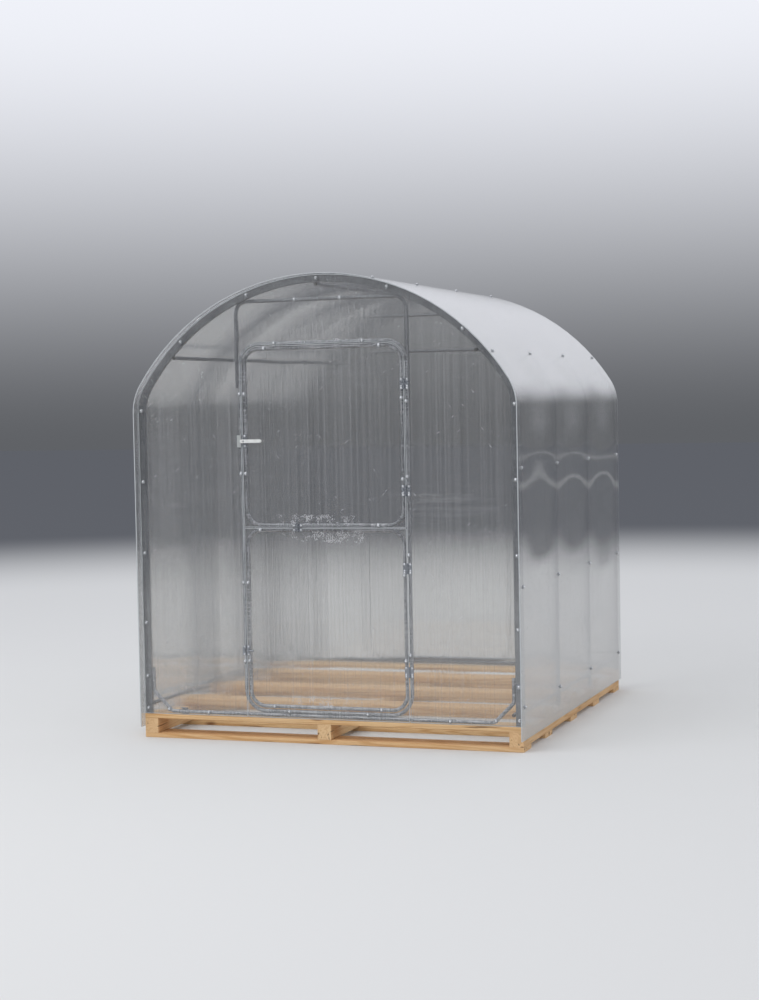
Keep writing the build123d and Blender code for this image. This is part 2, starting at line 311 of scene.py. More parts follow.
def slab(outer, inner, sawn=None):
    """A sheet between two grids of points: two skins, and a strip along each sawn side.

    Sawn holds how many cells of the low, right, high and left side are sawn, counted from the low or
    left end. Skins take finish 0, sawn edges and the border cells beside them finish 1. The order of
    the corners is turned round where the first grid's faces would look towards the second.
    """
    rows, columns = outer.shape[:2]
    low, right, high, left = sawn or (columns - 1, rows - 1, columns - 1, rows - 1)
    skins = grid_faces(rows, columns)
    index = np.arange(rows * columns).reshape(rows, columns)
    rims = [index[0, :low + 1], index[:right + 1, -1]]
    rims += [index[-1, :high + 1][::-1], index[:left + 1, 0][::-1]]
    count = rows * columns
    strips = [np.stack([rim[:-1], rim[:-1] + count, rim[1:] + count, rim[1:]], axis=-1) for rim in rims]
    border = np.zeros((rows - 1, columns - 1), bool)
    border[0, :low] = border[:right, -1] = border[-1, :high] = border[:left, 0] = True
    border = border.ravel()
    edges = np.concatenate([*strips, skins[border], skins[border][:, ::-1] + count])
    groups = [(skins[~border], 0), (skins[~border][:, ::-1] + count, 0), (edges, 1)]
    across = outer[rows // 2, columns // 2 + 1] - outer[rows // 2, columns // 2]
    along = outer[rows // 2 + 1, columns // 2] - outer[rows // 2, columns // 2]
    through = outer[rows // 2, columns // 2] - inner[rows // 2, columns // 2]
    if np.dot(np.cross(across, along), through) < 0:
        groups = [(faces[:, ::-1], finish) for faces, finish in groups]
    return np.concatenate([outer.reshape(-1, 3), inner.reshape(-1, 3)]), groups


def ribs_between(outer, inner, finish=2):
    """Ribs between two skins: for each column of the grids one thin strip from skin to skin."""
    rows, columns = outer.shape[:2]
    points = np.stack([outer, inner], axis=2).transpose(1, 0, 2, 3)
    faces = grid_faces(rows, 2)[None] + (np.arange(columns) * rows * 2)[:, None, None]
    return points.reshape(-1, 3), [(faces.reshape(-1, 4), finish)]


def turned(profile, rim, sides=12):
    """A turned piece about +Z, from one of the tables of rings.

    A six-sided ring's radius is the half width across flats over cos(angle - 30 degrees)
    within each sixth of a turn, and a round ring keeps its radius.
    """
    profile = np.array(profile, float)
    angle = np.arange(sides) * 2 * np.pi / sides
    six = 1 / np.cos(angle % (np.pi / 3) - np.pi / 6)
    radius = rim * profile[:, :1] * np.where(profile[:, 2:] > 0, six, 1)
    height = np.repeat(profile[:, 1:2], sides, axis=1)
    return closed_body(np.stack([radius * np.cos(angle), radius * np.sin(angle), height], axis=-1))


def stamp(shape, places, ways, spins=None, finish=0):
    """Copies of a shape drawn about +Z, each moved to its place with +Z turned its own way.

    Each copy's frame is its way, a level direction across it and their cross product,
    turned by its spin, and all points come from one matrix product.
    """
    points, groups = shape
    places = np.array(places, float).reshape(-1, 3)
    ways = np.broadcast_to(np.array(ways, float), places.shape)
    spins = np.zeros(len(places)) if spins is None else spins
    level = np.cross(ways, (0, 0, 1.0))
    upright = np.linalg.norm(level, axis=1) < 1e-6
    level[upright] = (1, 0, 0)
    level /= np.linalg.norm(level, axis=1)[:, None]
    third = np.cross(ways, level)
    first = level * np.cos(spins)[:, None] + third * np.sin(spins)[:, None]
    second = np.cross(ways, first)
    turns = np.stack([first, second, ways], axis=1)
    moved = np.einsum("pk,nkj->npj", points, turns) + places[:, None]
    shift = (np.arange(len(places)) * len(points))[:, None, None]
    copies = [((faces[None] + shift).reshape(-1, faces.shape[1]), finish) for faces, _ in groups]
    return moved.reshape(-1, 3), copies


def pillow(outline, low, high, edge, steps=4):
    """A moulded plate: an outline in X and Z, from y low to y high, with a quarter-round front edge.

    Each ring shrinks the outline towards its middle by edge * (1 - cos t) while it moves
    by edge * sin t.
    """
    middle = outline.mean(axis=0)
    arm = outline - middle
    reach = np.linalg.norm(arm, axis=1)[:, None]
    bend = np.linspace(0, np.pi / 2, steps)
    rings = [np.column_stack([outline[:, 0], np.full(len(outline), high), outline[:, 1]])]
    for step in bend:
        inset = outline - arm / reach * edge * (1 - math.cos(step))
        y = low + edge * (1 - math.sin(step))
        rings.append(np.column_stack([inset[:, 0], np.full(len(outline), y), inset[:, 1]]))
    return closed_body(np.array(rings))


def add_piece(name, parts, finishes, body, nodes=(), weld=False, marks=None):
    """Joins parts into one mesh object that rides on a body.

    A part is its points and its arrays of faces, each with the number of its finish.
    """
    points, faces, numbers = [], [], []
    start = 0
    for part_points, groups in parts:
        points.append(part_points)
        for group, finish in groups:
            faces += (group + start).tolist()
            numbers += [finish] * len(group)
        start += len(part_points)
    mesh = bpy.data.meshes.new(name)
    mesh.from_pydata(np.concatenate(points).tolist(), [], faces)
    mesh.polygons.foreach_set("material_index", numbers)
    mesh.polygons.foreach_set("use_smooth", np.ones(len(faces), bool))
    if marks is not None:
        mesh.attributes.new("board", "FLOAT", "POINT").data.foreach_set("value", marks)
    if weld:
        weld_points(mesh)
    mesh.set_sharp_from_angle(angle=math.radians(sharp_edge))
    for finish in finishes:
        mesh.materials.append(material(finish))
    piece = bpy.data.objects.new(name, mesh)
    bpy.context.scene.collection.objects.link(piece)
    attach(piece, body)
    if nodes:
        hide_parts(*nodes)
    return piece


def weld_points(mesh):
    """Merges the points where two parts of a sheet meet."""
    work = bmesh.new()
    work.from_mesh(mesh)
    bmesh.ops.remove_doubles(work, verts=work.verts, dist=1e-6)
    work.to_mesh(mesh)
    work.free()


# Outlines of the frame


def arch_path(offset, foot, legs=18, haunches=10, crown=16):
    """Points and outward directions of the arch's outline, offset outwards, from foot to foot.

    Up the right leg at x = half, round the haunch about (half - haunch radius, knee), over the
    crown about (0, crown centre), and the mirror image down the left side.
    """
    leg = np.linspace(foot, knee, legs, endpoint=False)
    leg[1:2] = foot + look("sheet").scuff
    bend = np.linspace(0, turn, haunches, endpoint=False)
    over = np.linspace(turn, np.pi / 2, crown)
    x = np.concatenate([
        np.full(legs, half + offset),
        half - haunch_radius + (haunch_radius + offset) * np.cos(bend),
        (crown_radius + offset) * np.cos(over),
    ])
    z = np.concatenate([
        leg,
        knee + (haunch_radius + offset) * np.sin(bend),
        crown_centre + (crown_radius + offset) * np.sin(over),
    ])
    way = np.concatenate([np.zeros(legs), bend, over])
    x = np.concatenate([x, -x[-2::-1]])
    z = np.concatenate([z, z[-2::-1]])
    way = np.concatenate([way, np.pi - way[-2::-1]])
    return x, z, way


def arch_height(x, depth):
    """Height at x of the arch's outline, some depth inside its outer face.

    It is the height of the crown's circle, or of the haunch's beyond where the two meet.
    """
    x = np.abs(x)
    crown = np.sqrt(np.maximum((crown_radius - depth) ** 2 - x**2, 0))
    haunch = np.sqrt(np.maximum((haunch_radius - depth) ** 2 - (x - half + haunch_radius) ** 2, 0))
    return np.where(x < (crown_radius - depth) * math.cos(turn), crown_centre + crown, knee + haunch)


def rounded_height(x, half_width, top, corner):
    """Height at x of an upright rectangle with two round upper corners."""
    past = np.clip(np.abs(x) - half_width + corner, 0, corner)
    return top - corner + np.sqrt(corner**2 - past**2)


def rounded_columns(half_width, corner, count=9):
    """Places across a rectangle's top, close together where its corners turn."""
    bend = np.cos(np.linspace(0, np.pi / 2, count))
    side = half_width - corner + corner * bend
    flat = np.linspace(-half_width + corner, half_width - corner, 4 * count)
    return np.concatenate([-side, flat, side])


def merged(columns, low, high):
    """Places between two limits, sorted, with none close to the next."""
    inside = columns[(columns > low) & (columns < high)]
    columns = np.sort(np.concatenate([[low, high], inside]))
    keep = np.concatenate([[True], np.diff(columns) > close])
    keep[-1] = True
    keep[-2] = columns[-1] - columns[-2] > close
    return columns[keep]


# Sheets


def bordered(steps, low, high, border):
    """Steps between two limits with one more a border's width from each."""
    inner = steps[(steps > low + 1.5 * border) & (steps < high - 1.5 * border)]
    return np.concatenate([[low, low + border], inner, [high - border, high]])


def flat_sheet(columns, low, high, y_outer, y_inner, fractions, sawn=None):
    """A flat twin-wall sheet from its columns' x, their lower and upper ends, and its two faces' y.

    A point lies at low + fraction * (high - low). Both faces bow outwards by the product of
    two squared sines, zero at every bow span across and up, as between screws.
    """
    sizes = look("sheet")
    out = math.copysign(1, y_outer - y_inner)

    def faces(x, bottom, top, y):
        z = bottom + fractions[:, None] * (top - bottom)
        x = np.broadcast_to(x, z.shape)
        bow = (np.sin(np.pi * x / bow_spans[0]) * np.sin(np.pi * z / bow_spans[1])) ** 2
        return np.stack([x, y + out * sizes.bow * bow, z], axis=-1)

    skins = slab(
        faces(columns, low(columns), high(columns), y_outer),
        faces(columns, low(columns), high(columns), y_inner),
        sawn,
    )
    first = math.ceil(columns[0] / sizes.pitch + 0.5)
    last = math.floor(columns[-1] / sizes.pitch - 0.5)
    places = np.arange(first, last + 1) * sizes.pitch
    inset = out * sizes.skin
    webs = ribs_between(
        faces(places, low(places) + sizes.skin, high(places) - sizes.skin, y_outer - inset),
        faces(places, low(places) + sizes.skin, high(places) - sizes.skin, y_inner + inset),
    )
    return [skins, webs]


def level(height):
    """A sheet's straight lower end."""
    return lambda x: np.full(np.shape(x), height)


def add_sheet(name, parts, body, nodes, flutes="upright", weld=False):
    """One object of twin-wall sheet, in place of the nodes that stand for it."""
    skin = f"Twin-wall polycarbonate, {flutes} flutes"
    finishes = (skin, "Sawn polycarbonate edge", "Polycarbonate rib")
    add_piece(name, parts, finishes, body, nodes, weld)


class GREENHOUSE_OT_cover(bpy.types.Operator):
    """Bend the cover sheet over the arches"""

    bl_idname = "greenhouse.cover"
    bl_label = "Cover sheet"

    def execute(self, context):
        sizes = look("sheet")
        y = np.linspace(wall_low.y, wall_high.y, cover_steps)
        y = bordered(y, wall_low.y, wall_high.y, sizes.scuff)
        outer, inner = self.surface(y, cover_outside), self.surface(y, cover_inside)
        count = int((wall_high.y - wall_low.y) / sizes.pitch)
        places = wall_low.y + np.arange(1, count) * sizes.pitch
        webs = ribs_between(
            self.surface(places, cover_outside - sizes.skin),
            self.surface(places, cover_inside + sizes.skin),
        )
        nodes = [f"cover_{side}_{part}" for side in ("left", "right") for part in ("wall", "haunch")]
        nodes += ["cover_roof_left", "cover_roof_right"]
        add_sheet("cover_sheet", [slab(outer, inner), webs], "greenhouse", nodes, "bent")
        return {"FINISHED"}

    def surface(self, y, offset):
        """The bent sheet: the arch's outline carried along Y and pushed along its outward direction.

        Between two arches it sinks at the haunch by sag * sin^2 * exp(-(s / sag reach)^2), s being
        the way along the sheet from the haunch. Its walls ripple in a long wave and one of half its
        height, which die out at the arches and towards the haunch and the foot.
        """
        sizes = look("sheet")
        x, z, way = arch_path(offset, wall_low.z)
        s = np.concatenate([[0], np.cumsum(np.hypot(np.diff(x), np.diff(z)))])
        haunch = knee + haunch_radius * turn / 2 - wall_low.z
        s = np.minimum(s, s[-1] - s) - haunch
        pitch = arch_places[1] - arch_places[0]
        run = (y - arch_places[0]) / pitch
        bay = np.clip(np.floor(run), 0, len(arch_places) - 2)
        between = np.where((run > 0) & (run < len(arch_places) - 1), np.sin(np.pi * run) ** 2, 0)
        side = np.where(x > 0, 0.0, 1.7)[:, None]
        sink = np.exp(-((s / sag_reach) ** 2))[:, None] * between
        faded = np.clip(-s / haunch_fade, 0, 1) * np.clip((z - wall_low.z) / foot_fade, 0, 1)
        wall = faded[:, None] * between
        phase = side + 0.3 * bay
        turns = 2 * np.pi * z[:, None]
        waves = np.sin(turns / long_wave + phase) + 0.5 * np.sin(turns / short_wave - 2 * phase)
        push = -sizes.sag * sink + sizes.ripple * wall * waves
        return np.stack([
            x[:, None] + push * np.cos(way)[:, None],
            np.broadcast_to(y, push.shape),
            z[:, None] + push * np.sin(way)[:, None],
        ], axis=-1)


class GREENHOUSE_OT_gables(bpy.types.Operator):
    """Hang the flat sheets on both gables"""

    bl_idname = "greenhouse.gables"
    bl_label = "Gable sheets"

    def execute(self, context):
        scuff = look("sheet").scuff
        bent = arch_path(-gable_inset, deck_top, legs=1)[0]
        door = rounded_columns(doorway_half, doorway_corner)
        edge = half - gable_inset
        faces = (gable_face, front)
        jamb = (doorway_top - doorway_corner - gable_low.z) / (self.top(doorway_half) - gable_low.z)
        upright = [np.linspace(0, jamb, jamb_steps), np.linspace(jamb, 1, haunch_steps)[1:]]
        upright = bordered(np.concatenate(upright), 0, 1, scuff / gable_rise)
        jamb_rows = int(np.searchsorted(upright, jamb))
        rows = len(upright) - 1
        left = bordered(merged(bent, -edge, -doorway_half), -edge, -doorway_half, scuff)
        over = merged(np.concatenate([bent, door]), -doorway_half, doorway_half)
        right = -left[::-1]
        beside, across = len(left) - 1, len(over) - 1
        foot = level(gable_low.z)
        parts = flat_sheet(left, foot, self.top, *faces, upright, (beside, jamb_rows, beside, rows))
        parts += flat_sheet(right, foot, self.top, *faces, upright, (beside, rows, beside, jamb_rows))
        above = bordered(np.linspace(0, 1, lintel_steps), 0, 1, scuff / lintel_rise)
        parts += flat_sheet(over, self.doorway, self.top, *faces, above, (across, 0, across, 0))
        nodes = ("front_gable_left", "front_gable_right", "front_gable_top")
        add_sheet("front_gable_sheet", parts, "greenhouse", nodes, weld=True)
        back_low, back_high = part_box("back_gable")
        whole = bordered(merged(bent, -edge, edge), -edge, edge, scuff)
        upright = bordered(np.linspace(0, 1, back_steps), 0, 1, scuff / gable_rise)
        sheet = flat_sheet(whole, foot, self.top, back_high.y, back_low.y, upright)
        add_sheet("back_gable_sheet", sheet, "greenhouse", ["back_gable"])
        return {"FINISHED"}

    def top(self, x):
        """The gable's upper edge, just inside the arch's outline."""
        return arch_height(x, gable_inset)

    def doorway(self, x):
        """The doorway's upper edge."""
        return rounded_height(x, doorway_half, doorway_top, doorway_corner)


class GREENHOUSE_OT_leaf_sheets(bpy.types.Operator):
    """Hang the sheets of the two door leaves"""

    bl_idname = "greenhouse.leaf_sheets"
    bl_label = "Leaf sheets"

    def execute(self, context):
        scuff = look("sheet").scuff
        corner = doorway_corner - leaf_gap
        columns = merged(rounded_columns(upper_high.x, corner), upper_low.x, upper_high.x)
        columns = bordered(columns, upper_low.x, upper_high.x, scuff)
        rows = bordered(np.linspace(0, 1, leaf_steps), 0, 1, scuff / leaf_rise)
        faces = (upper_low.y, upper_high.y)

        def top(x):
            return rounded_height(x, upper_high.x, upper_high.z, corner)

        plain = np.linspace(lower_low.x, lower_high.x, leaf_columns)
        plain = bordered(plain, lower_low.x, lower_high.x, scuff)
        for leaf, across, foot, head in (("upper", columns, upper_low.z, top),
                                         ("lower", plain, lower_low.z, level(lower_high.z))):
            sheet = flat_sheet(across, level(foot), head, *faces, rows)
            add_sheet(f"{leaf}_leaf_panel", sheet, f"{leaf}_leaf", [f"{leaf}_leaf_sheet"])
        return {"FINISHED"}


# Timber


def boxes_of(node, axis):
    """Lowest and highest corners of a node's boxes, told apart by their faces along one axis."""
    mesh = frame["nodes"][node].data
    points = np.zeros(len(mesh.vertices) * 3)
    mesh.vertices.foreach_get("co", points)
    points = points.reshape(-1, 3)
    faces = np.unique(points[:, axis].round(5))
    spans = zip(faces[::2], faces[1::2])
    boxes = [points[(points[:, axis] > low - close) & (points[:, axis] < high + close)]
             for low, high in spans]
    return [(box.min(axis=0), box.max(axis=0)) for box in boxes]


def sawn_board(low, high, along, rng, stations=40):
    """A sawn board between two corners, along one axis, with eased edges and faces that stray a little.

    Its section is a rectangle with quarter-round corners of four points each, rounder on a thick
    deck board. Every station moves each side by a smoothed random walk no larger than the saw's wander.
    """
    sizes = look("timber")
    thick = along == 0 and high[2] - low[2] > thick_board
    arris = sizes.round_arris if thick else sizes.arris
    across, up = (along + 1) % 3, (along + 2) % 3
    reach = (high - low) / 2
    centre = (high + low) / 2
    bend = np.linspace(0, np.pi / 2, 4) + np.arange(4)[:, None] * np.pi / 2
    to_right = np.array([1, -1, -1, 1])[:, None]
    to_top = np.array([1, 1, -1, -1])[:, None]
    u = (to_right * (reach[across] - arris) + arris * np.cos(bend)).ravel()
    v = (to_top * (reach[up] - arris) + arris * np.sin(bend)).ravel()
    stray = np.cumsum(rng.normal(size=(stations, 4)), axis=0)
    stray -= np.linspace(stray[0], stray[-1], stations)
    stray *= sizes.wander / np.abs(stray).max()
    place = np.linspace(low[along], high[along], stations)
    rings = np.zeros((stations, len(u), 3))
    rings[:, :, along] = place[:, None]
    rings[:, :, across] = centre[across] + u - np.where(u > 0, 1, -1) * np.abs(stray[:, :1])
    rings[:, :, up] = centre[up] + v - np.where(v > 0, 1, -1) * np.abs(stray[:, 1:2]) * 0.5
    return closed_body(rings)


class GREENHOUSE_OT_timber(bpy.types.Operator):
    """Lay the skid's sawn boards and their nails"""

    bl_idname = "greenhouse.timber"
    bl_label = "Timber skid"

    def execute(self, context):
        rng = np.random.default_rng(11)
        groups = (("stringers", "stringer_timbers", 1, "Sawn pine, grain front to back"),
                  ("bottom_boards", "bottom_planks", 0, "Sawn pine, grain across"),
                  ("deck_boards", "deck_planks", 0, "Sawn pine, grain across"))
        for node, name, along, finish in groups:
            boards = [sawn_board(low, high, along, rng) for low, high in boxes_of(node, 1 - along)]
            marks = np.concatenate([np.full(len(points), rng.random()) for points, _ in boards])
            add_piece(name, boards, (finish,), "greenhouse", [node], marks=marks)
        self.nails()
        return {"FINISHED"}

    def nails(self):
        """Two nail heads where each deck board crosses each stringer."""
        places = []
        for low, high in boxes_of("deck_boards", 1):
            for left, right in boxes_of("stringers", 0):
                inwards = (high[1] - low[1]) * 0.8 / 3
                for aside, y in zip(nail_insets, (low[1] + inwards, high[1] - inwards)):
                    places.append(((left[0] + right[0]) / 2 + aside, y, high[2]))
        head = turned(NAIL_HEAD, look("timber").nail)
        add_heads("deck_nails", head, places, (0, 0, 1), "greenhouse")


# Screws, caps and fittings

PLATE_FINISHES = ("Pressed zinc-plated plate", "Zinc-plated steel")


def small_screw():
    """A low round head, as on hinges."""
    return turned(SMALL_HEAD, look("frame").small_head, 10)


def add_heads(name, head, places, way, body):
    """One object of like nails or small screws."""
    add_piece(name, [stamp(head, places, way)], ("Zinc-plated steel",), body)


def on_gable(places, side=-1):
    """Points on a gable sheet's outer face from pairs of x and z."""
    places = np.array(places, float)
    return np.column_stack([places[:, 0], np.full(len(places), side * abs(gable_face)), places[:, 1]])


class GREENHOUSE_OT_screws(bpy.types.Operator):
    """Drive the screws of the arches, the cover and the door"""

    bl_idname = "greenhouse.screws"
    bl_label = "Screws"

    def execute(self, context):
        rng = np.random.default_rng(5)
        x = half - arch_face_width / 2
        radius = crown_radius - arch_face_width / 2
        leg = [(x * side, z) for side in (-1, 1) for z in arch_screw_heights]
        crown = [(-radius * math.sin(angle), crown_centre + radius * math.cos(angle))
                 for angle in map(math.radians, crown_screw_turns)]
        for end, side in (("front", -1), ("back", 1)):
            places = on_gable(leg + crown, side)
            self.drive(f"{end}_arch_screws", places, (0, side, 0), rng, "greenhouse")
        self.cover_screws(rng)
        self.door_screws(rng)
        self.hinge_screws()
        return {"FINISHED"}

    def drive(self, name, places, ways, rng, body):
        """Like screws as one object: domed washers on rubber, with hexagon heads at random turns."""
        spins = rng.uniform(0, np.pi / 3, len(places))
        washers = stamp(turned(WASHER, look("frame").washer, 16), places, ways)
        heads = stamp(turned(HEXAGON, look("frame").hexagon), places, ways, spins, finish=1)
        finishes = ("Dull sealing washer", "Zinc-plated steel")
        add_piece(name, [washers, heads], finishes, body)

    def cover_screws(self, rng):
        """Screws through the cover into every arch, on both walls and over the roof."""
        ways = [(side, 0, 0) for side in (-1, 1) for _ in cover_screw_heights]
        flat = [(side * (half + cover_outside), z) for side in (-1, 1) for z in cover_screw_heights]
        for angle in np.radians(cover_screw_turns):
            ways.append((math.sin(angle), 0, math.cos(angle)))
            reach = crown_radius + cover_outside
            flat.append((reach * math.sin(angle), crown_centre + reach * math.cos(angle)))
        places = [(x, y, z) for y in arch_places for x, z in flat]
        self.drive("cover_screws", places, ways * len(arch_places), rng, "greenhouse")

    def door_screws(self, rng):
        """Screws that hold the sheets to the door ring, the hoop, the foot tube and the leaf frames."""
        for name, (body, side, heights, level_tubes) in DOOR_SCREWS.items():
            places = [(way * side, z) for way, column in zip((-1, 1), heights) for z in column]
            for node, (top, foot) in level_tubes.items():
                low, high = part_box(node)
                places += [(x, high.z - tube / 2) for x in top]
                places += [(x, low.z + tube / 2 + lift) for x, lift in foot]
            self.drive(name, on_gable(places), (0, -1, 0), rng, body)

    def hinge_screws(self):
        """Three small screws down each hinge plate, one near its top and two near its foot."""
        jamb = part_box("jamb_hinge_plates")[1].x - hinge_screw_inset
        for leaf in ("upper", "lower"):
            low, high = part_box(f"{leaf}_leaf_hinge_plates")
            middles = (low.z + hinge_plate_height / 2, high.z - hinge_plate_height / 2)
            heights = [z + step * hinge_plate_height for z in middles for step in hinge_screw_steps]
            for side, x, body in (("leaf", low.x + hinge_screw_inset, f"{leaf}_leaf"),
                                  ("jamb", jamb, "greenhouse")):
                places = [(x, gable_face - plate_thickness, z) for z in heights]
                add_heads(f"{leaf}_{side}_hinge_screws", small_screw(), places, (0, -1, 0), body)


class GREENHOUSE_OT_caps(bpy.types.Operator):
    """Plug the open ends of the purlins and rails"""

    bl_idname = "greenhouse.caps"
    bl_label = "Tube plugs"

    def execute(self, context):
        plug = turned(PLUG, tube / 2, 20)
        tubes = [f"{side}_{name}" for side in ("left", "right") for name in ("roof_purlin", "base_rail")]
        boxes = [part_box(name) for name in ("ridge_purlin", *tubes)]
        middles = [(low + high) / 2 for low, high in boxes]
        parts = []
        for end, side in ((0, -1), (1, 1)):
            places = [(middle.x, box[end].y, middle.z) for middle, box in zip(middles, boxes)]
            parts.append(stamp(plug, places, (0, side, 0)))
        add_piece("tube_plugs", parts, ("Black polyethylene",), "greenhouse")
        return {"FINISHED"}


class GREENHOUSE_OT_fittings(bpy.types.Operator):
    """Mould the latch lever and add the bolts, plates and straps round the door"""

    bl_idname = "greenhouse.fittings"
    bl_label = "Fittings"

    def execute(self, context):
        self.lever()
        self.latch_bolts()
        self.leg_plate()
        self.foot_strap()
        return {"FINISHED"}

    def lever(self):
        """The latch's lever: a waisted bar with round ends, thinner towards its tip.

        Its height shrinks by a bell curve about 0.62 of its length, and evenly from 0.6 on.
        """
        low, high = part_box("latch_lever")
        end = (high.z - low.z) / 2
        bend = np.linspace(0, 2 * np.pi, 32, endpoint=False)
        reach = (high.x - low.x) / 2 - end
        x = (low.x + high.x) / 2 + 0.007 + np.sign(np.cos(bend)) * reach + end * np.cos(bend)
        along = (x - x.min()) / (x.max() - x.min())
        waist = 1 - 0.14 * np.exp(-((along - 0.62) / 0.16) ** 2)
        waist *= 1 - 0.22 * np.clip(along - 0.6, 0, 1)
        z = (low.z + high.z) / 2 + end * np.sin(bend) * waist
        bar = pillow(np.column_stack([x, z])[::-1], low.y, high.y, 0.0025)
        finishes = ("White polyamide",)
        add_piece("latch_handle", [bar], finishes, "latch_lever", ["latch_lever"])

    def latch_bolts(self):
        """Domed bolts above and below the lever, and on the plates of both slide bolts."""
        face = gable_face - plate_thickness
        low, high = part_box("latch_plate")
        latch = [((low.x + high.x) / 2, face, z) for z in (high.z - 0.007, low.z + 0.008)]
        add_heads("latch_screws", small_screw(), latch, (0, -1, 0), "upper_leaf")
        for name, body in (("low_bolt_guide", "lower_leaf"), ("low_bolt_keeper", "greenhouse"),
                           ("mid_bolt_guide", "upper_leaf"), ("mid_bolt_keeper", "lower_leaf")):
            low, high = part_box(name)
            upright = high.z - low.z > high.x - low.x
            reach = Vector((0, 0, high.z - low.z) if upright else (high.x - low.x, 0, 0)) / 2
            reach -= bolt_screw_inset * reach.normalized()
            middle = Vector(((low.x + high.x) / 2, face, (low.z + high.z) / 2))
            places = [middle - reach, middle + reach]
            add_heads(f"{name}_screws", small_screw(), places, (0, -1, 0), body)

    def leg_plate(self):
        """A square plate with a bolt through the right leg."""
        x, z = half - arch_face_width / 2, arch_screw_heights[4]
        face = gable_face - 0.0009 - plate_thickness
        square = (x, z) + np.array([(-1, 1), (1, 1), (1, -1), (-1, -1)]) * leg_plate_reach
        plate = pillow(square, face, face + plate_thickness, 0.0006, 3)
        bolt = stamp(turned(BOLT_HEAD, leg_bolt_radius), [(x, face, z)], (0, -1, 0), finish=1)
        add_piece("leg_bolt", [plate, bolt], PLATE_FINISHES, "greenhouse")

    def foot_strap(self):
        """A bent strap that holds the front foot tube down on the deck, with its screw.

        Its section is the strap's line in Y and Z, thickened by its normal to both sides.
        """
        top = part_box("front_foot_tube")[0].z + tube
        y = front + tube
        line = np.array([(front + 0.002, top + 0.008), (y + 0.002, top + 0.008),
                         (y + 0.006, top + 0.004), (y + 0.006, deck_top + 0.006),
                         (y + 0.008, deck_top + 0.002), (y + 0.028, deck_top + 0.002)])
        slope = np.gradient(line, axis=0)
        aside = np.column_stack([-slope[:, 1], slope[:, 0]])
        aside *= strap_thickness / 2 / np.linalg.norm(slope, axis=1)[:, None]
        ring = np.concatenate([line + aside, (line - aside)[::-1]])
        rings = np.array([np.column_stack([np.full(len(ring), x), ring]) for x in strap_sides])
        place = (sum(strap_sides) / 2, y + 0.019, deck_top + 0.0028)
        screw = stamp(small_screw(), [place], (0, 0, 1), finish=1)
        parts = [closed_body(rings), screw]
        add_piece("foot_strap", parts, PLATE_FINISHES, "greenhouse")


# Finishes

MATH, VECTORS = "ShaderNodeMath", "ShaderNodeVectorMath"
RANGE, MIX, BUMP = "ShaderNodeMapRange", "ShaderNodeMix", "ShaderNodeBump"
NOISE, CELLS = "ShaderNodeTexNoise", "ShaderNodeTexVoronoi"
PAINT, COLOURED = "ShaderNodeBsdfPrincipled", {"data_type": "RGBA", "output": 2}


def add_node(tree, kind, inputs=(), output=0, **settings):
    """Adds a node with its settings and links, and returns one of its outputs.

    Inputs are numbers, colours or other nodes' outputs, in the order of the sockets or by their names
    or numbers. A range takes a value, its old limits and its new ones, and a colour mix its factor in
    socket 0 and its colours in 6 and 7, with its result in output 2.
    """
    node = tree.nodes.new(kind)
    for name, value in settings.items():
        setattr(node, name, value)
    for key, value in (inputs if isinstance(inputs, dict) else dict(enumerate(inputs))).items():
        if isinstance(value, bpy.types.NodeSocket):
            tree.links.new(value, node.inputs[key])
        else:
            node.inputs[key].default_value = value
    return node.outputs[output] if node.outputs else None


def grained(tree, kind, sizes, detail=None, place=None, turned_by=0.0, output=0):
    """A pattern whose grains measure so many millimetres along X, Y and Z, turned about Y.

    It reads the piece's own coordinates, in metres, or another place.
    """
    place = place or add_node(tree, "ShaderNodeTexCoord", output="Object")
    scale = [size / 1000 for size in sizes]
    layout = {"Vector": place, "Rotation": (0.0, turned_by, 0.0), "Scale": scale}
    grain = add_node(tree, "ShaderNodeMapping", layout, vector_type="TEXTURE")
    inputs = {"Vector": grain, "Scale": 1.0}
    if detail is not None:
        inputs["Detail"] = detail
    return add_node(tree, kind, inputs, output)


def own_side(tree, axis):
    """How far along one axis of the piece a point lies, in metres."""
    place = add_node(tree, "ShaderNodeTexCoord", output="Object")
    return add_node(tree, "ShaderNodeSeparateXYZ", (place,), axis)


def drawn_out(axis, along, across):
    """Grain sizes that differ along one axis."""
    return [along if name == axis else across for name in "XYZ"]


def near(tree, value, middle, reach):
    """1 about a middle value, falling to 0 at a reach on either side."""
    apart = add_node(tree, MATH, (value, middle), operation="SUBTRACT")
    away = add_node(tree, MATH, (apart,), operation="ABSOLUTE")
    return add_node(tree, RANGE, (away, reach * 0.4, reach, 1.0, 0.0))


def leant(tree, push, share):
    """The surface's normal pushed aside by a share of a vector."""
    normal = add_node(tree, "ShaderNodeNewGeometry", output="Normal")
    moved = add_node(tree, VECTORS, (push, (share,) * 3, normal), operation="MULTIPLY_ADD")
    return add_node(tree, VECTORS, (moved,), operation="NORMALIZE")


